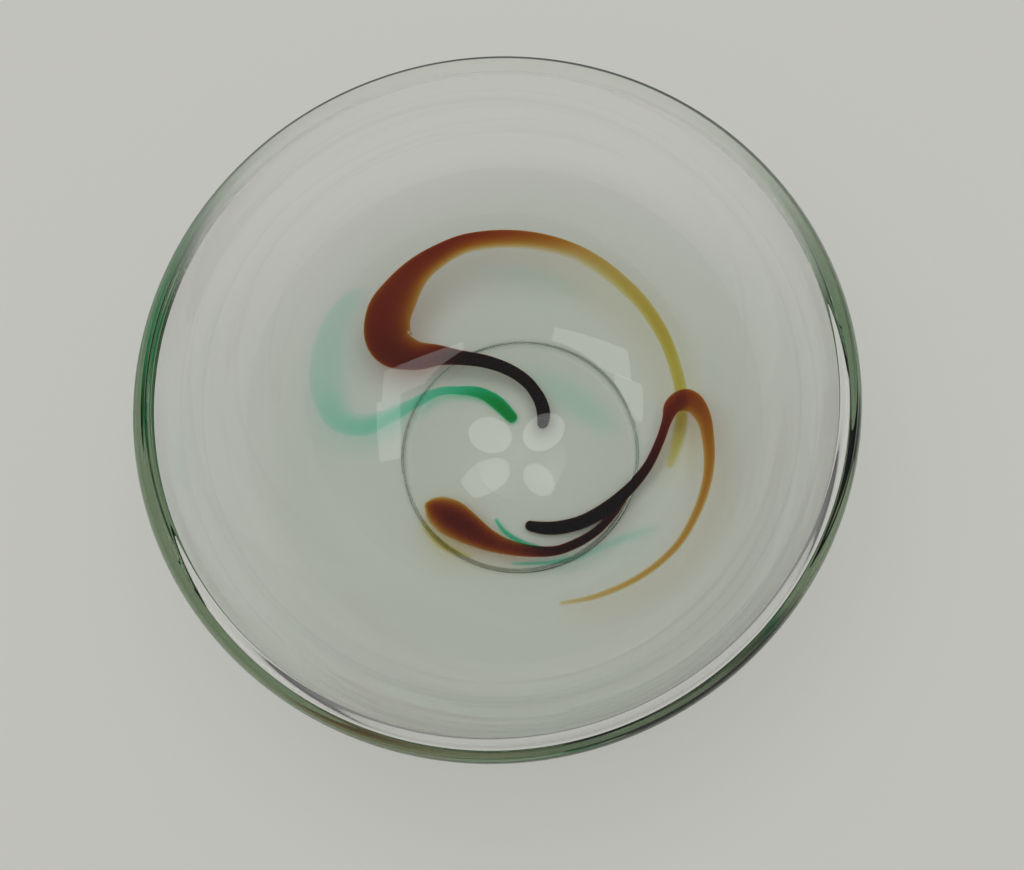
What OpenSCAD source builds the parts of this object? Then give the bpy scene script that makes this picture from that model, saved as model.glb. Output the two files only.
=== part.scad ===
// A free-blown bowl of clear glass with amber and green trails inside its wall.
// The origin is the middle of the resting plane under the foot, with +Z up the bowl's axis.

/* [Bowl] */
// Height from the table to the top of the lip
bowl_h = 85; // [75:1:95]
// Diameter at the widest line of the wall
bowl_d = 181; // [160:1:210]
// Rise from the widest line to the middle of the round lip
lip_rise = 3.2; // [3:0.1:16]
// How far the wall turns in from the widest line to the lip, on each side
lip_in = 2.4; // [0.6:0.1:3]
// Thickness of the wall from the widest line up, and of its round lip
wall_t = 3.6; // [3:0.2:5]
// Thickness of the floor in the middle of the bowl, above the table
floor_t = 12; // [9:0.5:16]
// How near the foot the floor thins into the wall, higher being nearer
thinning = 3.5; // [2.5:0.5:6]

/* [Foot] */
// Diameter of the foot
foot_d = 71; // [50:1:90]
// Height of the foot's upright edge
foot_h = 2.5; // [2:0.5:5]
// Radius of the foot's lower edge
foot_edge_r = 0.8; // [0.4:0.2:1.4]
// Diameter of the ground hollow that the pontil iron left
pontil_d = 27; // [16:1:40]
// Depth of that hollow
pontil_depth = 1.2; // [0.4:0.2:3]

/* [Colour trails] */
// Diameter of the circle that the trails' pattern is drawn on
pattern_d = 181; // [150:1:190]
// Thickness of the amber trails
amber_t = 1.2; // [0.6:0.1:1.4]
// Thickness of the green trail and threads
green_t = 1; // [0.6:0.1:1.2]
// Thickness of the pale green haze
haze_t = 0.5; // [0.3:0.1:0.8]
// Share of the wall between the inner face and the front trails
front_share = 0.34; // [0.3:0.01:0.36]
// Share of the wall between the inner face and the back trails
back_share = 0.68; // [0.66:0.01:0.7]

/* [Hidden] */
$fn = 96;

// Steps along the lower wall, the upper wall, the lip and a small rounding
WALL_STEPS = 26;
UPPER_STEPS = 6;
LIP_STEPS = 12;
EDGE_STEPS = 4;
HOLLOW_STEPS = 4;
// Steps along a trail between two of its points
TRAIL_STEPS = 3;
// How far out the trails' layers run, as an angle on the lower wall
LAYER_END = 72;
LAYER_STEPS = 22;

belly_r = bowl_d / 2;
belly_z = bowl_h - wall_t / 2 - lip_rise;
foot_r = foot_d / 2;

// The lower wall's outer face is part of an ellipse about [0, belly_z] with half-width
// belly_r and half-height belly_b, which passes through the top of the foot's edge
belly_b = (belly_z - foot_h) / sqrt(1 - pow(foot_r / belly_r, 2));
foot_angle = asin(foot_r / belly_r);
// Glass on the axis, from the inner face down to the ellipse's lowest point
axis_t = floor_t + belly_b - belly_z;

// The upper wall's middle is an arc that turns in by lip_in over lip_rise
turn_r = (pow(lip_rise, 2) + pow(lip_in, 2)) / (2 * lip_in);
turn_x = belly_r - wall_t / 2 - turn_r;
turn_angle = asin(lip_rise / turn_r);

// Middle lines of the trails: x, y and half-width, in hundredths of the pattern's radius
AMBER_SWEEP = [
    [7, 8.5, 1.6], [7.5, 13.5, 2.2], [6, 18.5, 2.1], [2, 24, 2], [-4, 28, 2], [-11.5, 30.5, 2.1],
    [-19.5, 31.5, 2.3], [-27.5, 32.5, 3.4], [-35.5, 34.5, 5.2], [-41, 40.5, 6.5], [-40.5, 49, 5.4],
    [-35, 57, 3.6], [-27, 62, 2.6], [-16.5, 66, 2.5], [-4.5, 67.5, 2.4], [7.5, 66.5, 2.3],
    [19, 63, 2.2], [29, 57, 2.2], [39, 48, 2.1], [46, 38, 1.9], [50, 28.5, 1.9], [52.5, 18, 1.8],
    [52.5, 8.5, 1.9], [51, 1, 1.8], [48.5, -6.5, 1.3]
];
AMBER_HOOK = [
    [2, -23.5, 1.5], [7, -24.5, 2], [13, -24.5, 2.2], [21, -22.5, 2.2], [29, -18, 2.2],
    [36, -12, 1.9], [42, -5, 1.5], [46, 3, 1.4], [48.5, 10, 1.6], [51, 15, 2], [54.5, 17, 2.2],
    [58, 15, 2], [60.5, 10, 1.6], [61.5, 4, 1.3], [62, -4, 1.1], [61, -12.5, 1], [57.5, -22.5, 1],
    [51, -33, 1], [40, -42, 0.9], [26.5, -48, 0.8], [14, -50.5, 0.7]
];
AMBER_PATCH = [
    [-29.5, -18, 1.8], [-26.5, -19.5, 4], [-22, -22, 5], [-17, -25, 4.4], [-11, -28, 3.1],
    [-4, -31, 2.2], [4, -32.5, 1.7], [12, -32.5, 1.5], [19, -30, 1.5], [25.5, -26, 1.4],
    [31, -20, 1.3], [35.5, -13.5, 1]
];
GREEN_SWEEP = [
    [-2, 12, 1.8], [-8, 18, 2.3], [-14, 21.5, 1.8], [-21.5, 22, 1.3], [-28, 21, 1.2],
    [-36, 16.5, 1.7], [-43.5, 12, 2.2], [-51, 8.5, 3], [-57.5, 9, 4.1], [-61, 14, 4.7],
    [-62, 21.5, 4.8], [-61, 30, 4.7], [-58.5, 38.5, 4], [-54.5, 46, 2.8], [-50, 51, 1.3]
];
GREEN_THREADS = [
    [[-8, -21.5, 0.5], [-4.5, -26, 0.7], [1.5, -29.5, 0.7], [9, -31.5, 0.6], [17, -31.5, 0.5]],
    [[-2, -36.5, 0.5], [5, -36.5, 0.7], [13, -36, 0.9], [20, -34.5, 1.1], [28.5, -31, 1.5],
     [37, -28, 1.9], [46, -25.5, 1.6]]
];
GREEN_HAZE = [
    [[0, 31.5, 2], [6, 27.5, 4], [13.5, 23, 5.3], [21, 17.5, 5.4], [27.5, 12, 4.2], [32, 7, 1.8]],
    [[-16.5, 60.5, 1.6], [-8.5, 61, 2.6], [0.5, 61, 2.9], [9.5, 59, 2.9], [18, 56, 2.4],
     [25, 52, 1.4]]
];

function unit(v) = v / norm(v);
function reversed(list) = [for (i = [len(list) - 1:-1:0]) list[i]];

// Points of an arc about c, from angle a0 to angle a1
function arc(c, r, a0, a1, steps) =
    [for (i = [0:steps]) let (a = a0 + (a1 - a0) * i / steps) c + r * [cos(a), sin(a)]];

// Thickness of the lower wall at angle a, where 0 is the axis and 90 the widest line
function wall(a) = wall_t + (axis_t - wall_t) * pow(cos(a), thinning);

// Point in the lower wall at angle a and a share of the way from the inner to the outer
// face, moved inwards by off
function in_wall(a, share, off = 0) =
    [belly_r * sin(a), belly_z - belly_b * cos(a)]
    + (wall(a) * (1 - share) + off) * unit([-sin(a) / belly_r, cos(a) / belly_b]);

function lower_face(share, a0) =
    [for (i = [0:WALL_STEPS]) in_wall(a0 + (90 - a0) * i / WALL_STEPS, share)];

function upper_face(share) =
    arc([turn_x, belly_z], turn_r + (share - 0.5) * wall_t, 0, turn_angle, UPPER_STEPS);

function lip() =
    arc([turn_x, belly_z] + turn_r * [cos(turn_angle), sin(turn_angle)], wall_t / 2,
        turn_angle, turn_angle + 180, LIP_STEPS);

// The hollow is the cap of a sphere through the axis point and the hollow's edge
function hollow() =
    let (r = (pow(pontil_d / 2, 2) + pow(pontil_depth, 2)) / (2 * pontil_depth),
         half = asin(pontil_d / 2 / r))
    arc([0, pontil_depth - r], r, 90, 90 - half, HOLLOW_STEPS);

function foot() =
    arc([foot_r - foot_edge_r, foot_edge_r], foot_edge_r, -90, 0, EDGE_STEPS);

module section() {
    polygon(concat(
        hollow(), foot(), lower_face(1, foot_angle), upper_face(1), lip(),
        reversed(upper_face(0)), reversed(lower_face(0, 0))
    ));
}

// A skin inside the wall in which trails lie
module layer(share, t) {
    angles = [for (i = [0:LAYER_STEPS]) LAYER_END * i / LAYER_STEPS];
    rotate_extrude() polygon(concat(
        [for (a = angles) in_wall(a, share, -t / 2)],
        [for (a = reversed(angles)) in_wall(a, share, t / 2)]
    ));
}

// Point at t from p[i] to p[i + 1] on a smooth curve through all of p
function between(p, i, t) =
    let (b = p[i], c = p[i + 1],
         a = i > 0 ? p[i - 1] : 2 * b - c,
         d = i + 2 < len(p) ? p[i + 2] : 2 * c - b)
    (2 * b + (c - a) * t + (2 * a - 5 * b + 4 * c - d) * t * t
     + (3 * b - a - 3 * c + d) * t * t * t) / 2;

function smooth(p) = concat(
    [for (i = [0:len(p) - 2], k = [0:TRAIL_STEPS - 1]) between(p, i, k / TRAIL_STEPS)],
    [p[len(p) - 1]]
);

// One edge of a trail, on its left for side 1 and on its right for side -1
function edge(p, side) =
    [for (i = [0:len(p) - 1])
        let (ahead = p[min(i + 1, len(p) - 1)] - p[max(i - 1, 0)],
             left = unit([-ahead[1], ahead[0]]))
        [p[i][0], p[i][1]] + side * p[i][2] * left];

module trail(path, share, t) {
    line = smooth(path) * pattern_d / 200;
    intersection() {
        layer(share, t);
        linear_extrude(height = bowl_h) polygon(concat(edge(line, 1), reversed(edge(line, -1))));
    }
}

module amber_sweep() {
    color("saddlebrown") trail(AMBER_SWEEP, front_share, amber_t);
}

module amber_hook() {
    color("sienna") trail(AMBER_HOOK, back_share, amber_t);
}

module amber_patch() {
    color("chocolate") trail(AMBER_PATCH, front_share, amber_t);
}

module green_sweep() {
    color("mediumseagreen") trail(GREEN_SWEEP, back_share, green_t);
}

module green_threads() {
    color("seagreen") for (path = GREEN_THREADS) trail(path, back_share, green_t);
}

module green_haze() {
    color("darkseagreen") for (path = GREEN_HAZE) trail(path, back_share, haze_t);
}

// The clear glass is cast round the trails, so it holds each one in a space of its own shape
module bowl() {
    color("azure", 0.3) difference() {
        rotate_extrude() section();
        amber_sweep();
        amber_hook();
        amber_patch();
        green_sweep();
        green_threads();
        green_haze();
    }
}

bowl();
amber_sweep();
amber_hook();
amber_patch();
green_sweep();
green_threads();
green_haze();
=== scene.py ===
"""A free-blown bowl of clear glass with amber and green trails in its wall, seen from above."""
import math

import bmesh
import bpy
from mathutils import Matrix, Vector


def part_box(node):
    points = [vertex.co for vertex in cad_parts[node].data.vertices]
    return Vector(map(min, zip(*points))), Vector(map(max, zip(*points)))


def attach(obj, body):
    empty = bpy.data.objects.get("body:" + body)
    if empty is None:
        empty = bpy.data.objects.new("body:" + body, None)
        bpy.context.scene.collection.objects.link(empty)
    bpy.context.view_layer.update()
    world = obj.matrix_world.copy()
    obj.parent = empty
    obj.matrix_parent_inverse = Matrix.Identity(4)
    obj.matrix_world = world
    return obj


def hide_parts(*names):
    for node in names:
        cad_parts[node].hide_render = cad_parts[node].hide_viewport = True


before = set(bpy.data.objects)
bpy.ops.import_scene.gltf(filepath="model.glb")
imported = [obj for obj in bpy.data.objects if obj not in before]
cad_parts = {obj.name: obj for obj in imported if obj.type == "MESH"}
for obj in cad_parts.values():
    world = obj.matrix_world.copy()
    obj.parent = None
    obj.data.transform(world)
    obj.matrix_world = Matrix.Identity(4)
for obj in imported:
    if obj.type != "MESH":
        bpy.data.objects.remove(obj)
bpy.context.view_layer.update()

MM = 0.001

# The bowl's sizes in mm: the overall ones come from the frame, the others are those of the solids,
# but for the foot's edge, which is worn rounder
bowl_low, bowl_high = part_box("bowl")
BOWL_H = bowl_high[2] / MM
BELLY_R = (bowl_high[0] - bowl_low[0]) / 2 / MM
LIP_RISE = 3.2
LIP_IN = 2.4
WALL_T = 3.6
FLOOR_T = 12.0
THINNING = 3.5
FOOT_R = 35.5
FOOT_H = 2.5
FOOT_EDGE_R = 2.2
PONTIL_R = 13.5
PONTIL_DEPTH = 1.2

# The lower wall's outer face is part of an ellipse about (0, BELLY_Z), with half-width BELLY_R and
# half-height BELLY_B, which passes through the top of the foot's edge
BELLY_Z = BOWL_H - WALL_T / 2 - LIP_RISE
BELLY_B = (BELLY_Z - FOOT_H) / math.sqrt(1 - (FOOT_R / BELLY_R) ** 2)
FOOT_ANGLE = math.asin(FOOT_R / BELLY_R)
AXIS_T = FLOOR_T + BELLY_B - BELLY_Z

# The upper wall's middle is an arc that turns in by LIP_IN over LIP_RISE
TURN_R = (LIP_RISE**2 + LIP_IN**2) / (2 * LIP_IN)
TURN_X = BELLY_R - WALL_T / 2 - TURN_R
TURN_ANGLE = math.asin(LIP_RISE / TURN_R)
LIP_X = TURN_X + TURN_R * math.cos(TURN_ANGLE)
LIP_Z = BOWL_H - WALL_T / 2

# Radius of the circle that the trails' pattern is drawn on, and the share of the way from the inner
# to the outer face at which the front and the back trails lie
PATTERN_R = 90.5
FRONT = 0.34
BACK = 0.68

# Mesh steps
ROUND_STEPS = 480
WALL_STEPS = 70
UPPER_STEPS = 10
LIP_STEPS = 22
EDGE_STEPS = 8
HOLLOW_STEPS = 10
FLAT_STEPS = 3
TRAIL_STEPS = 10
TRAIL_ACROSS = 20
CAP_STEPS = 8
HALVINGS = 40

# A trail's section: a higher power is squarer where it is crisp, and thinner where it is faded
CRISP_POWER = 8
FADED_POWER = 1.8

# Length of a trail's round end, in half-widths, and the least it can be
CAP_SHARE = 0.9
CAP_LEAST = 0.3

# How much red, green and blue each glass takes up, as exponents per mm
CLEAR_PER_MM = (0.0070, 0.0050, 0.0082)
AMBER_PER_MM = (2.4, 6.9, 18.5)
YELLOW_PER_MM = (0.95, 1.5, 7.1)
GREEN_PER_MM = (4.4, 0.5, 1.35)
GLASS_IOR = 1.5

# The volume is denser than its strongest exponent by this factor, as no channel of it may be black
DENSITY_SPARE = 1.05

# Relief of the inner face over the foot: its edge is flatter than the form and the ring outside the
# dish is steeper, both as slopes, with the radii and the height that it starts at in mm
RELIEF_R = 34.0
DISH_R = 19.0
FLATTER = 0.14
FLATTER_POWER = 5.0
STEEPER = 0.07
RELIEF_FROM_Z = 6.0

# Roughness of the worn base and its ground hollow, up to this height in mm
WORN = 0.22
WORN_TO_Z = 1.25

# The lip looks thinner at the far side. By how much, and the y, z and radius in mm, or the share of
# the lower wall's ellipse, over which each part of that grows from nothing to full
THIN_LIP = 0.85
FAR_Y = (20, 85)
CLEAR_FRONT_Z = (76, 80)
CLEAR_BACK_Z = (30, 45)
OUTER_FACE = (0.95, 0.97)
ABOVE_WALL_Z = (79, 81)
# Painted shade: a dark see-through line on the outer rounding of the far lip, which grows over
# these radius and height spans in mm, in this colour
SHADE_LINE_R = (88.3, 88.8)
SHADE_LINE_Z = (80.8, 81.8)
SHADE_LINE_COLOUR = (0.2, 0.22, 0.21, 1)

# What the clear glass lets through in shadows where it is met face on and, past a point, edge on
SHADOW_BLEND = 0.35
SHADOW_STOPS = ((0.0, (0.985, 0.99, 0.985, 1)), (0.95, (0.6, 0.66, 0.61, 1)))

FLOOR_COLOUR = (0.75, 0.745, 0.705, 1)
FLOOR_ROUGHNESS = 0.9
FLOOR_SPECULAR = 0.2
FLOOR_SIZE = 6.0

# Lamps and windows stand this far from the origin, in m, each in a direction that is given in
# degrees round from +X and down from straight above
LIGHT_DISTANCE = 2.0
AIM = Vector((0, 0, FLOOR_T * MM))

# Windows: two strips that meet in a corner, by one end, the corner and the other end, and how wide
# the strips are, in m
WINDOW_RADIANCE = 1.75
WINDOWS = {
    "window_left": ((-132.8, 16.3), (-163.3, 29.0), (163.9, 29.9), 0.27),
    "window_right": ((-53.2, 10.6), (-10.0, 25.6), (34.3, 27.9), 0.25),
}

# Round lamps: direction, length and breadth in m, watts, and how far the length is turned from +X
GLOBES = (
    ((97.1, 10.5), (0.17, 0.14), 0.13, -24.0),
    ((125.2, 12.4), (0.17, 0.14), 0.13, 36.9),
    ((93.8, 15.3), (0.20, 0.13), 0.12, 36.9),
    ((113.4, 17.0), (0.15, 0.10), 0.07, -53.1),
)

SOFT_BOX_AT = (0.0, 0.2, 2.0)
SOFT_BOX_SIZE = (1.5, 1.5)
SOFT_BOX_WATTS = 16.6

# Light from all round, by how high it comes from, with what comes from beyond the bowl lifted
SKY_STOPS = ((0.02, (0.1, 0.1, 0.1, 1)), (0.45, (0.3, 0.3, 0.3, 1)))
SKY_LIFT = 0.6

# Camera: where it stands from the middle of the lip, in mm, with its own right and up
CAMERA_FROM_LIP = Vector((35.9, -97.9, 373.9))
CAMERA_RIGHT = Vector((1.0, 0.0, 0.0))
CAMERA_UP = Vector((0.0, 0.9743, 0.2251))
CAMERA_SHIFT = -0.1274
CAMERA_NEAR = 0.01
LENS_MM = 55.0
SENSOR_MM = 36.0

BOUNCES = 12
CLEAR_BOUNCES = 64

# Trails: each point is x, y and half-width in hundredths of the pattern's radius, the thickness in
# mm, how soft the edges are from 0 to 1, and how far the trail thins towards one side, where 1
# keeps the left edge and -1 the right edge at full thickness

AMBER_SWEEP = [
    (7, 8.5, 1.6, 2, 0, 0), (7.5, 13.5, 2.2, 2, 0, 0), (6, 18.5, 2.1, 2, 0, 0), (2, 24, 2, 2, 0, 0),
    (-4, 28, 2, 2, 0, 0), (-11.5, 30.5, 2.1, 2, 0, 0), (-19.5, 31.5, 2.4, 1.5, 0, 0.1),
    (-27, 32, 3.4, 0.9, 0.2, 0.3), (-34.8, 31.6, 5, 0.72, 0.4, 0.5),
    (-41.8, 34.6, 7.4, 0.7, 0.4, 0.5), (-42.4, 42.3, 6.8, 0.68, 0.4, 0.5),
    (-38.5, 49.8, 5.5, 0.68, 0.5, 0.6), (-33, 56.8, 3.9, 0.7, 0.5, 0.7),
    (-25.5, 62.2, 3, 0.72, 0.5, 0.8), (-16.5, 66, 2.6, 0.64, 0.5, 0.9),
    (-4.5, 67.5, 2.5, 0.5, 0.5, 0.9), (7.5, 66.5, 2.4, 0.34, 0.5, 0.9),
    (19, 63, 2.3, 0.17, 0.5, 0.9), (29, 57, 2.3, 0.09, 0.5, 0.9), (39, 48, 2.1, 0.05, 0.5, 0.8),
    (46, 38, 1.9, 0.03, 0.6, 0.7), (50, 28.5, 1.8, 0.01, 0.8, 0.5),
]
YELLOW_LINE = [
    (19, 63, 2.2, 0.04, 0.6, 0), (29, 57, 2.3, 0.13, 0.6, 0), (39, 48, 2.2, 0.24, 0.5, 0),
    (46, 38, 2.1, 0.29, 0.4, 0), (50, 28.5, 2, 0.3, 0.4, 0), (52.5, 18, 2, 0.28, 0.4, 0),
    (52.5, 8.5, 2.1, 0.25, 0.5, 0), (51, 1, 2, 0.2, 0.6, 0), (48.5, -6.5, 1.6, 0.1, 0.8, 0),
]
AMBER_HOOK = [
    (2, -23.5, 1.5, 2, 0, 0), (7, -24.5, 2, 2, 0, 0), (13, -24.5, 2.2, 2, 0, 0),
    (21, -22.5, 2.2, 2, 0, 0), (29, -18, 2.2, 1.9, 0, 0), (36, -12, 1.9, 1.7, 0, 0),
    (42, -5, 1.6, 1.2, 0, 0), (46, 3, 1.5, 0.85, 0.1, 0), (48.5, 10, 1.7, 0.66, 0.2, 0),
    (50.4, 14.6, 3, 0.58, 0.3, 0), (54, 16.2, 3.6, 0.52, 0.4, 0.2),
    (57.6, 14.2, 3.1, 0.4, 0.4, 0.4), (60.3, 9.5, 2.4, 0.32, 0.4, 0.4),
    (61.5, 4, 2, 0.26, 0.4, 0.3), (62, -4, 1.8, 0.22, 0.5, 0.2), (61, -12.5, 1.6, 0.18, 0.6, 0),
    (57.5, -22.5, 1.5, 0.15, 0.7, 0), (51, -33, 1.4, 0.13, 0.8, 0), (40, -42, 1.3, 0.11, 0.8, 0),
    (26.5, -48, 1.2, 0.08, 0.8, 0), (14, -50.5, 0.9, 0.04, 0.9, 0),
]
AMBER_PATCH = [
    (-30, -17, 2, 0.24, 0.9, 0), (-27, -18.5, 4.6, 0.504, 0.9, 0.1), (-22, -21.5, 6, 0.6, 0.8, 0.2),
    (-16.5, -25, 5.2, 0.6, 0.7, 0.2), (-10.5, -28.5, 3.8, 0.54, 0.6, 0.2),
    (-4, -31, 2.7, 0.48, 0.5, 0.1), (4, -32.5, 2, 0.6, 0.4, 0), (12, -32.5, 1.6, 1.08, 0.2, 0),
    (19, -30, 1.5, 1.44, 0.1, 0), (25.5, -26, 1.4, 1.44, 0, 0), (31, -20, 1.3, 1.08, 0.2, 0),
    (35.5, -13.5, 1, 0.48, 0.5, 0),
]
PATCH_EDGE = [
    (-30.5, -22.5, 0.8, 0.08, 0.9, 0), (-29, -25.5, 1.3, 0.16, 0.8, 0),
    (-26.2, -28.8, 1.5, 0.2, 0.8, 0), (-22.6, -31.6, 1.5, 0.2, 0.8, 0),
    (-18, -33.6, 1.2, 0.14, 0.9, 0), (-14, -34.5, 0.8, 0.05, 1, 0),
]
GREEN_SWEEP = [
    (-2, 12, 1.8, 1.1, 0, 0), (-8, 18, 2.3, 1, 0, 0), (-14, 21.5, 1.9, 0.8, 0, 0),
    (-21.5, 22, 1.4, 0.5, 0, 0), (-28, 21, 1.4, 0.36, 0.1, 0), (-36, 16.5, 1.9, 0.26, 0.3, 0.2),
    (-43.5, 12, 2.6, 0.22, 0.6, 0.3), (-51, 8.5, 3.8, 0.19, 0.8, 0.4),
    (-57.5, 9.8, 5, 0.16, 0.9, 0.5), (-60.2, 15.5, 5.8, 0.12, 0.9, 0.6),
    (-61.2, 22.8, 5.9, 0.08, 0.9, 0.6), (-60.2, 30.5, 5.6, 0.08, 0.9, 0.6),
    (-58, 38.5, 4.7, 0.07, 0.9, 0.6), (-54, 46, 3.2, 0.07, 1, 0.5), (-49.5, 51, 1.5, 0.03, 1, 0.3),
]
GREEN_THREAD = [
    (-8, -21.5, 0.5, 0.35, 0.2, 0), (-4.5, -26, 0.7, 0.42, 0.2, 0), (1.5, -29.5, 0.7, 0.42, 0.2, 0),
    (9, -31.5, 0.6, 0.35, 0.3, 0), (17, -31.5, 0.5, 0.21, 0.4, 0),
]
GREEN_SMEAR = [
    (-2, -36.5, 0.5, 0.15, 0.3, 0), (5, -36.5, 0.7, 0.21, 0.3, 0), (13, -36, 0.9, 0.21, 0.4, 0),
    (20, -34.5, 1.1, 0.12, 0.6, 0), (28.5, -31, 1.8, 0.072, 0.9, 0), (37, -28, 2.4, 0.06, 1, 0),
    (46, -25.5, 2, 0.03, 1, 0),
]
HAZE_NEAR = [
    (0, 31.5, 3, 0.006, 1, 0), (6, 27.5, 6, 0.018, 1, 0), (13.5, 22.5, 8, 0.027, 1, 0),
    (21, 17, 8, 0.03, 1, 0), (28, 11, 6, 0.024, 1, 0), (33, 6, 3, 0.006, 1, 0),
]
HAZE_FAR = [
    (-18, 58.5, 2.5, 0.006, 1, 0), (-9, 59, 4.2, 0.015, 1, 0), (0.5, 59, 4.6, 0.021, 1, 0),
    (9.5, 57, 4.4, 0.024, 1, 0), (18, 54, 3.6, 0.018, 1, 0), (25, 50.5, 2, 0.006, 1, 0),
]


# Profile of the bowl, as points (radius, height) in mm


def unit2(x, z):
    n = math.hypot(x, z)
    return x / n, z / n


def arc(cx, cz, r, a0, a1, steps):
    turns = [a0 + (a1 - a0) * i / steps for i in range(steps + 1)]
    return [(cx + r * math.cos(a), cz + r * math.sin(a)) for a in turns]


def wall_thickness(a):
    return WALL_T + (AXIS_T - WALL_T) * math.cos(a) ** THINNING


def wall_normal(a):
    """Normal of the lower wall's ellipse at angle a, into the bowl."""
    return unit2(-math.sin(a) / BELLY_R, math.cos(a) / BELLY_B)


def in_wall(a, share):
    """Point in the lower wall at angle a, a share of the way from the inner to the outer face."""
    nx, nz = wall_normal(a)
    depth = wall_thickness(a) * (1 - share)
    return BELLY_R * math.sin(a) + depth * nx, BELLY_Z - BELLY_B * math.cos(a) + depth * nz


def lower_face(share, a0):
    steps = range(WALL_STEPS + 1)
    return [in_wall(a0 + (math.pi / 2 - a0) * i / WALL_STEPS, share) for i in steps]


def upper_face(share):
    return arc(TURN_X, BELLY_Z, TURN_R + (share - 0.5) * WALL_T, 0, TURN_ANGLE, UPPER_STEPS)


def hollow():
    r = (PONTIL_R**2 + PONTIL_DEPTH**2) / (2 * PONTIL_DEPTH)
    half = math.asin(PONTIL_R / r)
    return arc(0, PONTIL_DEPTH - r, r, math.pi / 2, math.pi / 2 - half, HOLLOW_STEPS)


def bowl_profile():
    """From the axis under the foot, out, up the outside, over the lip and down the inside."""
    edge_r = FOOT_R - FOOT_EDGE_R
    flat = [(PONTIL_R + (edge_r - PONTIL_R) * i / FLAT_STEPS, 0.0) for i in range(1, FLAT_STEPS)]
    foot = arc(edge_r, FOOT_EDGE_R, FOOT_EDGE_R, -math.pi / 2, 0, EDGE_STEPS)
    lip = arc(LIP_X, LIP_Z, WALL_T / 2, TURN_ANGLE, TURN_ANGLE + math.pi, LIP_STEPS)
    outside = foot + lower_face(1, FOOT_ANGLE) + upper_face(1)[1:] + lip[1:]
    inside = upper_face(0)[::-1][1:] + lower_face(0, 0)[::-1][1:]
    return hollow() + flat + outside + inside


# Meshes


def finished(name, bm):
    bmesh.ops.recalc_face_normals(bm, faces=bm.faces)
    mesh = bpy.data.meshes.new(name)
    bm.to_mesh(mesh)
    bm.free()
    mesh.polygons.foreach_set("use_smooth", [True] * len(mesh.polygons))
    obj = bpy.data.objects.new(name, mesh)
    bpy.context.scene.collection.objects.link(obj)
    return obj


def spun(name, profile):
    """A closed solid of revolution whose profile starts and ends on the axis."""
    bm = bmesh.new()
    first = bm.verts.new((0, 0, profile[0][1] * MM))
    last = bm.verts.new((0, 0, profile[-1][1] * MM))
    turns = [2 * math.pi * k / ROUND_STEPS for k in range(ROUND_STEPS)]
    rings = [
        [bm.verts.new((r * math.cos(a) * MM, r * math.sin(a) * MM, z * MM)) for a in turns]
        for r, z in profile[1:-1]
    ]
    for k in range(ROUND_STEPS):
        n = (k + 1) % ROUND_STEPS
        bm.faces.new((first, rings[0][n], rings[0][k]))
        for low, high in zip(rings, rings[1:]):
            bm.faces.new((low[k], low[n], high[n], high[k]))
        bm.faces.new((last, rings[-1][k], rings[-1][n]))
    return finished(name, bm)


def between(p, i, t):
    """Point at t from p[i] to p[i + 1] on a smooth curve through all of p."""
    b, c = p[i], p[i + 1]
    a = p[i - 1] if i > 0 else tuple(2 * x - y for x, y in zip(b, c))
    d = p[i + 2] if i + 2 < len(p) else tuple(2 * x - y for x, y in zip(c, b))
    return tuple(
        (2 * q + (r - o) * t + (2 * o - 5 * q + 4 * r - s) * t**2 + (3 * q - o - 3 * r + s) * t**3)
        / 2
        for o, q, r, s in zip(a, b, c, d)
    )


def smooth(p):
    spans = range(len(p) - 1)
    return [between(p, i, k / TRAIL_STEPS) for i in spans for k in range(TRAIL_STEPS)] + [p[-1]]


def dense_ends(line):
    """Adds points close to both ends, where the outline is round."""
    shares = [1 - math.cos(math.pi / 2 * k / CAP_STEPS) for k in range(1, CAP_STEPS)]

    def towards(a, b):
        return [tuple(p + (q - p) * t for p, q in zip(a, b)) for t in shares]

    first, last = towards(line[0], line[1]), towards(line[-1], line[-2])[::-1]
    return [line[0]] + first + line[1:-1] + last + [line[-1]]


def rounded_ends(line):
    """The share of its half-width that each point keeps, as both ends are drawn in round."""
    run = [0.0]
    for p, q in zip(line, line[1:]):
        run.append(run[-1] + math.dist(p[:2], q[:2]))
    shares = []
    for p, s in zip(line, run):
        cap = max(p[2] * CAP_SHARE, CAP_LEAST)
        near = min(s, run[-1] - s)
        shares.append(math.sqrt(max(0.0, 1 - (1 - near / cap) ** 2)) if near < cap else 1.0)
    return shares


def wall_angle(r, share):
    """Angle on the lower wall at which the layer at this share has this radius."""
    low, high = 0.0, math.pi / 2
    for _ in range(HALVINGS):
        mid = (low + high) / 2
        if in_wall(mid, share)[0] < r:
            low = mid
        else:
            high = mid
    return low


def on_layer(x, y, share):
    """Point of the layer over (x, y), in mm, and the wall's normal there, into the bowl."""
    r = math.hypot(x, y)
    a = wall_angle(r, share)
    nx, nz = wall_normal(a)
    cx, cy = (x / r, y / r) if r > 0 else (1.0, 0.0)
    return Vector((x, y, in_wall(a, share)[1])), Vector((nx * cx, nx * cy, nz))


def section_height(v, soft, lean):
    """How thick a trail is across its width, from 0 to 1, where v runs from -1 to 1."""
    crisp = math.sqrt(max(0.0, 1 - v**CRISP_POWER))
    faded = (1 - v * v) ** FADED_POWER
    fading = soft * (1 - abs(lean)) if lean * v > 0 else soft
    tilt = 1 - (abs(lean) - lean * v) / 2
    return (crisp + (faded - crisp) * fading) * tilt


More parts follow.
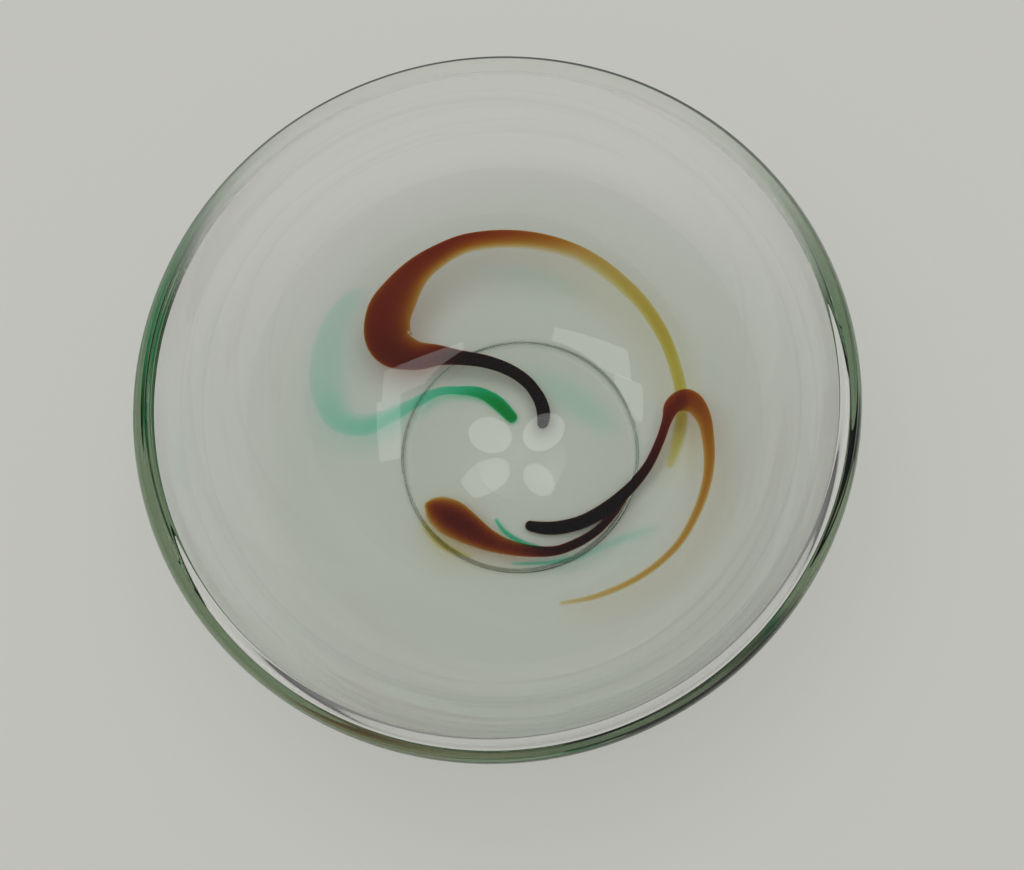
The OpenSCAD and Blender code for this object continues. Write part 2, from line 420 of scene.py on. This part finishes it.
def trail(bm, path, share):
    """Adds one closed lens-shaped streak to bm."""
    scale = PATTERN_R / 100
    line = dense_ends(smooth(path))
    across = [math.sin(math.pi / 2 * (2 * j / TRAIL_ACROSS - 1)) for j in range(TRAIL_ACROSS + 1)]
    rows = []
    for i, (p, width) in enumerate(zip(line, rounded_ends(line))):
        x, y, half_width, thickness, soft, lean = p
        if width <= 0:
            tip = bm.verts.new(on_layer(x * scale, y * scale, share)[0] * MM)
            rows.append([(tip, tip)] * len(across))
            continue
        before, after = line[max(i - 1, 0)], line[min(i + 1, len(line) - 1)]
        lx, ly = unit2(before[1] - after[1], after[0] - before[0])
        row = []
        for v in across:
            side = v * half_width * width
            base, normal = on_layer((x + side * lx) * scale, (y + side * ly) * scale, share)
            if v in (across[0], across[-1]):
                rim = bm.verts.new(base * MM)
                row.append((rim, rim))
            else:
                off = normal * (thickness / 2 * section_height(v, soft, lean) * width)
                row.append((bm.verts.new((base + off) * MM), bm.verts.new((base - off) * MM)))
        rows.append(row)
    for low, high in zip(rows, rows[1:]):
        for j in range(TRAIL_ACROSS):
            for face in (0, 1):
                corners = (low[j][face], low[j + 1][face], high[j + 1][face], high[j][face])
                bm.faces.new(list(dict.fromkeys(corners)))


def streaks(name, paths, share):
    bm = bmesh.new()
    for path in paths:
        trail(bm, path, share)
    return finished(name, bm)


# Shader nodes


def add(tree, kind, inputs=()):
    """A new node, whose inputs are set from pairs of an input and a value or another's output."""
    node = tree.nodes.new("ShaderNode" + kind)
    for key, value in inputs:
        if isinstance(value, bpy.types.NodeSocket):
            tree.links.new(value, node.inputs[key])
        else:
            node.inputs[key].default_value = value
    return node


def worked(tree, op, a, b):
    """The result of one sum, where a and b are numbers or outputs."""
    node = add(tree, "Math", ((0, a), (1, b)))
    node.operation = op
    return node.outputs[0]


def product(tree, first, *others):
    for other in others:
        first = worked(tree, "MULTIPLY", first, other)
    return first


def rising(tree, value, span, unit=MM):
    """Runs from 0 to 1 while value runs over the span."""
    limits = (("From Min", span[0] * unit), ("From Max", span[1] * unit))
    node = add(tree, "MapRange", (("Value", value), *limits))
    node.interpolation_type = "SMOOTHSTEP"
    return node.outputs["Result"]


def ramp(tree, value, stops):
    """Colours that run between two stops."""
    node = add(tree, "ValToRGB", (("Fac", value),))
    for element, (position, colour) in zip(node.color_ramp.elements, stops):
        element.position, element.color = position, colour
    return node.outputs["Color"]


def mixed(tree, share, first, second):
    """The first shader, with this share of the second."""
    return add(tree, "MixShader", ((0, share), (1, first), (2, second))).outputs[0]


def place_on_bowl(tree):
    """Outputs for the distance from the bowl's axis, y and z, in m."""
    place = add(tree, "TexCoord").outputs["Object"]
    flat = add(tree, "VectorMath", ((0, place), (1, (1, 1, 0))))
    flat.operation = "MULTIPLY"
    length = add(tree, "VectorMath", ((0, flat.outputs[0]),))
    length.operation = "LENGTH"
    split = add(tree, "SeparateXYZ", ((0, place),))
    return length.outputs["Value"], split.outputs["Y"], split.outputs["Z"]


# Materials


def new_material(name):
    mat = bpy.data.materials.new(name)
    mat.use_nodes = True
    mat.node_tree.nodes.clear()
    return mat, mat.node_tree, add(mat.node_tree, "OutputMaterial")


def absorption(tree, out, per_mm):
    """Fills the piece with glass that takes up this much red, green and blue."""
    per_m = [k / MM for k in per_mm]
    density = max(per_m) * DENSITY_SPARE
    colour = (*[1 - k / density for k in per_m], 1)
    node = add(tree, "VolumeAbsorption", (("Density", density), ("Color", colour)))
    tree.links.new(node.outputs[0], out.inputs["Volume"])


def floor_relief(tree):
    """Slight relief of the inner face over the foot, which cuts off reflections at its circle."""
    radius, _, z = place_on_bowl(tree)
    end = RELIEF_R * MM
    r = worked(tree, "MINIMUM", radius, end)
    power = worked(tree, "POWER", worked(tree, "DIVIDE", r, end), FLATTER_POWER)
    fall = worked(tree, "SUBTRACT", 1.0, power)
    flatter = worked(tree, "MULTIPLY", fall, FLATTER * end / FLATTER_POWER)
    past = worked(tree, "SUBTRACT", end, worked(tree, "MAXIMUM", r, DISH_R * MM))
    height = worked(tree, "SUBTRACT", flatter, worked(tree, "MULTIPLY", past, STEEPER))
    inner = worked(tree, "GREATER_THAN", z, RELIEF_FROM_Z * MM)
    relief = (("Height", product(tree, height, inner)), ("Strength", 1.0), ("Distance", 1.0))
    return add(tree, "Bump", relief).outputs[0]


def on_outer_face(tree, radius, z):
    """1 on the wall's outer face and above the lower wall, and 0 on its inner face."""
    across = worked(tree, "DIVIDE", radius, BELLY_R * MM)
    down = worked(tree, "DIVIDE", worked(tree, "SUBTRACT", BELLY_Z * MM, z), BELLY_B * MM)
    ellipse = worked(tree, "ADD", product(tree, across, across), product(tree, down, down))
    face = rising(tree, ellipse, OUTER_FACE, unit=1)
    return worked(tree, "MAXIMUM", face, rising(tree, z, ABOVE_WALL_Z))


def thin_lip_with_painted_line(tree, glass):
    """Lets the lip at the far side be seen through, as thinner glass is, but for a dark line of
    painted shade along its outer rounding.
    """
    radius, y, z = place_on_bowl(tree)
    far = rising(tree, y, FAR_Y)
    back = add(tree, "NewGeometry").outputs["Backfacing"]
    front = worked(tree, "SUBTRACT", 1.0, back)
    shade_line = product(tree, front, rising(tree, radius, SHADE_LINE_R), rising(tree, z, SHADE_LINE_Z))
    rest = worked(tree, "SUBTRACT", 1.0, shade_line)
    on_front = product(tree, front, rising(tree, z, CLEAR_FRONT_Z))
    on_back = product(tree, back, rising(tree, z, CLEAR_BACK_Z), on_outer_face(tree, radius, z))
    thin = product(tree, worked(tree, "ADD", on_front, on_back), rest, far, THIN_LIP)
    clear = add(tree, "BsdfTransparent")
    # A dark see-through line of painted shade on the far lip's outer rounding
    dark = add(tree, "BsdfTransparent", (("Color", SHADE_LINE_COLOUR),))
    thinned = mixed(tree, thin, glass.outputs[0], clear.outputs[0])
    return mixed(tree, product(tree, shade_line, far), thinned, dark.outputs[0])


def shadow_glass(tree):
    """What stands in for the glass in shadows: clear, and darker where it is met edge on."""
    edge = add(tree, "LayerWeight", (("Blend", SHADOW_BLEND),))
    colour = ramp(tree, edge.outputs["Facing"], SHADOW_STOPS)
    return add(tree, "BsdfTransparent", (("Color", colour),))


def clear_glass():
    """Clear glass with a worn base and a thin far lip with a dark line of painted shade on it,
    which lets light through in shadows.
    """
    mat, tree, out = new_material("clear_glass")
    _, _, z = place_on_bowl(tree)
    worn = product(tree, worked(tree, "LESS_THAN", z, WORN_TO_Z * MM), WORN)
    look = (
        ("Base Color", (1, 1, 1, 1)), ("IOR", GLASS_IOR), ("Transmission Weight", 1.0),
        ("Roughness", worn), ("Normal", floor_relief(tree)),
    )
    glass = add(tree, "BsdfPrincipled", look)
    path = add(tree, "LightPath").outputs
    shadow = worked(tree, "MAXIMUM", path["Is Shadow Ray"], path["Is Diffuse Ray"])
    surface = mixed(tree, shadow, thin_lip_with_painted_line(tree, glass), shadow_glass(tree).outputs[0])
    tree.links.new(surface, out.inputs["Surface"])
    absorption(tree, out, CLEAR_PER_MM)
    return mat


def coloured_glass(name, per_mm):
    """Glass that lies in the clear glass, with no surface of its own."""
    mat, tree, out = new_material(name)
    absorption(tree, out, per_mm)
    return mat


def floor_material():
    mat, tree, out = new_material("floor")
    look = (
        ("Base Color", FLOOR_COLOUR), ("Roughness", FLOOR_ROUGHNESS),
        ("Specular IOR Level", FLOOR_SPECULAR),
    )
    tree.links.new(add(tree, "BsdfPrincipled", look).outputs[0], out.inputs["Surface"])
    return mat


# The pieces


def bowl():
    piece = spun("bowl_glass", bowl_profile())
    piece.data.materials.append(clear_glass())
    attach(piece, "root")
    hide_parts("bowl")


def trails():
    amber = coloured_glass("amber_glass", AMBER_PER_MM)
    yellow = coloured_glass("yellow_glass", YELLOW_PER_MM)
    green = coloured_glass("green_glass", GREEN_PER_MM)
    plan = [
        ("sweep", "amber_sweep", [AMBER_SWEEP], FRONT, amber, "amber_glass"),
        ("line", "amber_sweep", [YELLOW_LINE], FRONT, yellow, "amber_glass"),
        ("hook", "amber_hook", [AMBER_HOOK], BACK, amber, "amber_glass"),
        ("patch", "amber_patch", [AMBER_PATCH], FRONT, amber, "amber_glass"),
        ("edge", "amber_patch", [PATCH_EDGE], FRONT, yellow, "amber_glass"),
        ("band", "green_sweep", [GREEN_SWEEP], BACK, green, "green_glass"),
        ("threads", "green_threads", [GREEN_THREAD, GREEN_SMEAR], BACK, green, "green_glass"),
        ("haze", "green_haze", [HAZE_NEAR, HAZE_FAR], BACK, green, "pale_green_glass"),
    ]
    for name, node, paths, share, mat, slot in plan:
        piece = streaks("trail_" + name, paths, share)
        piece.data.materials.append(mat)
        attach(piece, "root")
        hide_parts(node)


# Stage, lights and camera


def floor():
    bm = bmesh.new()
    half = FLOOR_SIZE / 2
    corners = ((-half, -half), (half, -half), (half, half), (-half, half))
    bm.faces.new([bm.verts.new((x, y, 0)) for x, y in corners])
    piece = finished("floor", bm)
    piece.data.materials.append(floor_material())


def turned(right, up, back):
    """Rotation whose x, y and z axes are these."""
    return Matrix((right, up, back)).transposed().to_4x4()


def area_light(name, place, turn, size, watts, shape, mirrored=True):
    """An area light, which leaves no image in the glass unless mirrored. It shines along -Z."""
    data = bpy.data.lights.new(name, "AREA")
    data.shape = shape
    data.size, data.size_y = size
    data.energy = watts
    obj = bpy.data.objects.new(name, data)
    obj.matrix_world = Matrix.Translation(place) @ turn
    obj.visible_glossy = mirrored
    obj.visible_transmission = mirrored
    bpy.context.scene.collection.objects.link(obj)


def standing(direction):
    """The place of a light in this direction."""
    round_x, down = (math.radians(a) for a in direction)
    level = math.sin(down)
    unit = Vector((level * math.cos(round_x), level * math.sin(round_x), math.cos(down)))
    return LIGHT_DISTANCE * unit


def lamp(name, place, size, watts, degrees=0.0, shape="ELLIPSE", mirrored=True):
    """A lamp that faces the bowl, with its length about along this direction from +X."""
    along = Vector((math.cos(math.radians(degrees)), math.sin(math.radians(degrees)), 0))
    back = (place - AIM).normalized()
    up = back.cross(along).normalized()
    area_light(name, place, turned(up.cross(back), up, back), size, watts, shape, mirrored)


def window(name, end_a, corner, end_b, wide):
    """Two strips of window that meet at the corner, in the plane of the three points."""
    to_corner, onward = corner - end_a, end_b - corner
    u, d = to_corner.normalized(), onward.normalized()
    v = (d - d.dot(u) * u).normalized()
    back = u.cross(v)
    back = back if back.z > 0 else -back
    turn = turned(v.cross(back), v, back)
    rest = onward.length - wide
    strips = (
        ((end_a + corner) / 2 + v * wide / 2, (to_corner.length, wide)),
        (corner + d * (wide + rest / 2) - u * wide / 2, (wide, rest * v.dot(d))),
    )
    for part, (place, size) in zip("ab", strips):
        watts = math.pi * WINDOW_RADIANCE * size[0] * size[1]
        area_light(f"{name}_{part}", place, turn, size, watts, "RECTANGLE")


def sky():
    world = bpy.data.worlds.new("world")
    world.use_nodes = True
    tree = world.node_tree
    tree.nodes.clear()
    split = add(tree, "SeparateXYZ", ((0, add(tree, "TexCoord").outputs["Generated"]),))
    beyond = worked(tree, "MAXIMUM", split.outputs["Y"], 0.0)
    height = worked(tree, "ADD", product(tree, beyond, SKY_LIFT), split.outputs["Z"])
    light = add(tree, "Background", (("Color", ramp(tree, height, SKY_STOPS)),))
    add(tree, "OutputWorld", (("Surface", light.outputs[0]),))
    bpy.context.scene.world = world


def lights():
    for name, (end_a, corner, end_b, wide) in WINDOWS.items():
        window(name, standing(end_a), standing(corner), standing(end_b), wide)
    for number, (direction, size, watts, degrees) in enumerate(GLOBES, 1):
        lamp(f"globe_{number}", standing(direction), size, watts, degrees)
    box = Vector(SOFT_BOX_AT)
    lamp("soft_box", box, SOFT_BOX_SIZE, SOFT_BOX_WATTS, shape="RECTANGLE", mirrored=False)
    sky()


def camera():
    data = bpy.data.cameras.new("camera")
    data.lens = LENS_MM
    data.sensor_width = SENSOR_MM
    data.shift_x = CAMERA_SHIFT
    data.clip_start = CAMERA_NEAR
    obj = bpy.data.objects.new("camera", data)
    back = CAMERA_RIGHT.cross(CAMERA_UP).normalized()
    place = (CAMERA_FROM_LIP + Vector((0, 0, LIP_Z))) * MM
    turn = turned(CAMERA_RIGHT, back.cross(CAMERA_RIGHT), back)
    obj.matrix_world = Matrix.Translation(place) @ turn
    bpy.context.scene.collection.objects.link(obj)
    bpy.context.scene.camera = obj


def render_settings():
    scene = bpy.context.scene
    scene.view_settings.view_transform = "Standard"
    scene.cycles.max_bounces = BOUNCES
    scene.cycles.transmission_bounces = BOUNCES
    scene.cycles.glossy_bounces = BOUNCES
    scene.cycles.transparent_max_bounces = CLEAR_BOUNCES
    scene.cycles.use_denoising = True


bowl()
trails()
floor()
lights()
camera()
render_settings()
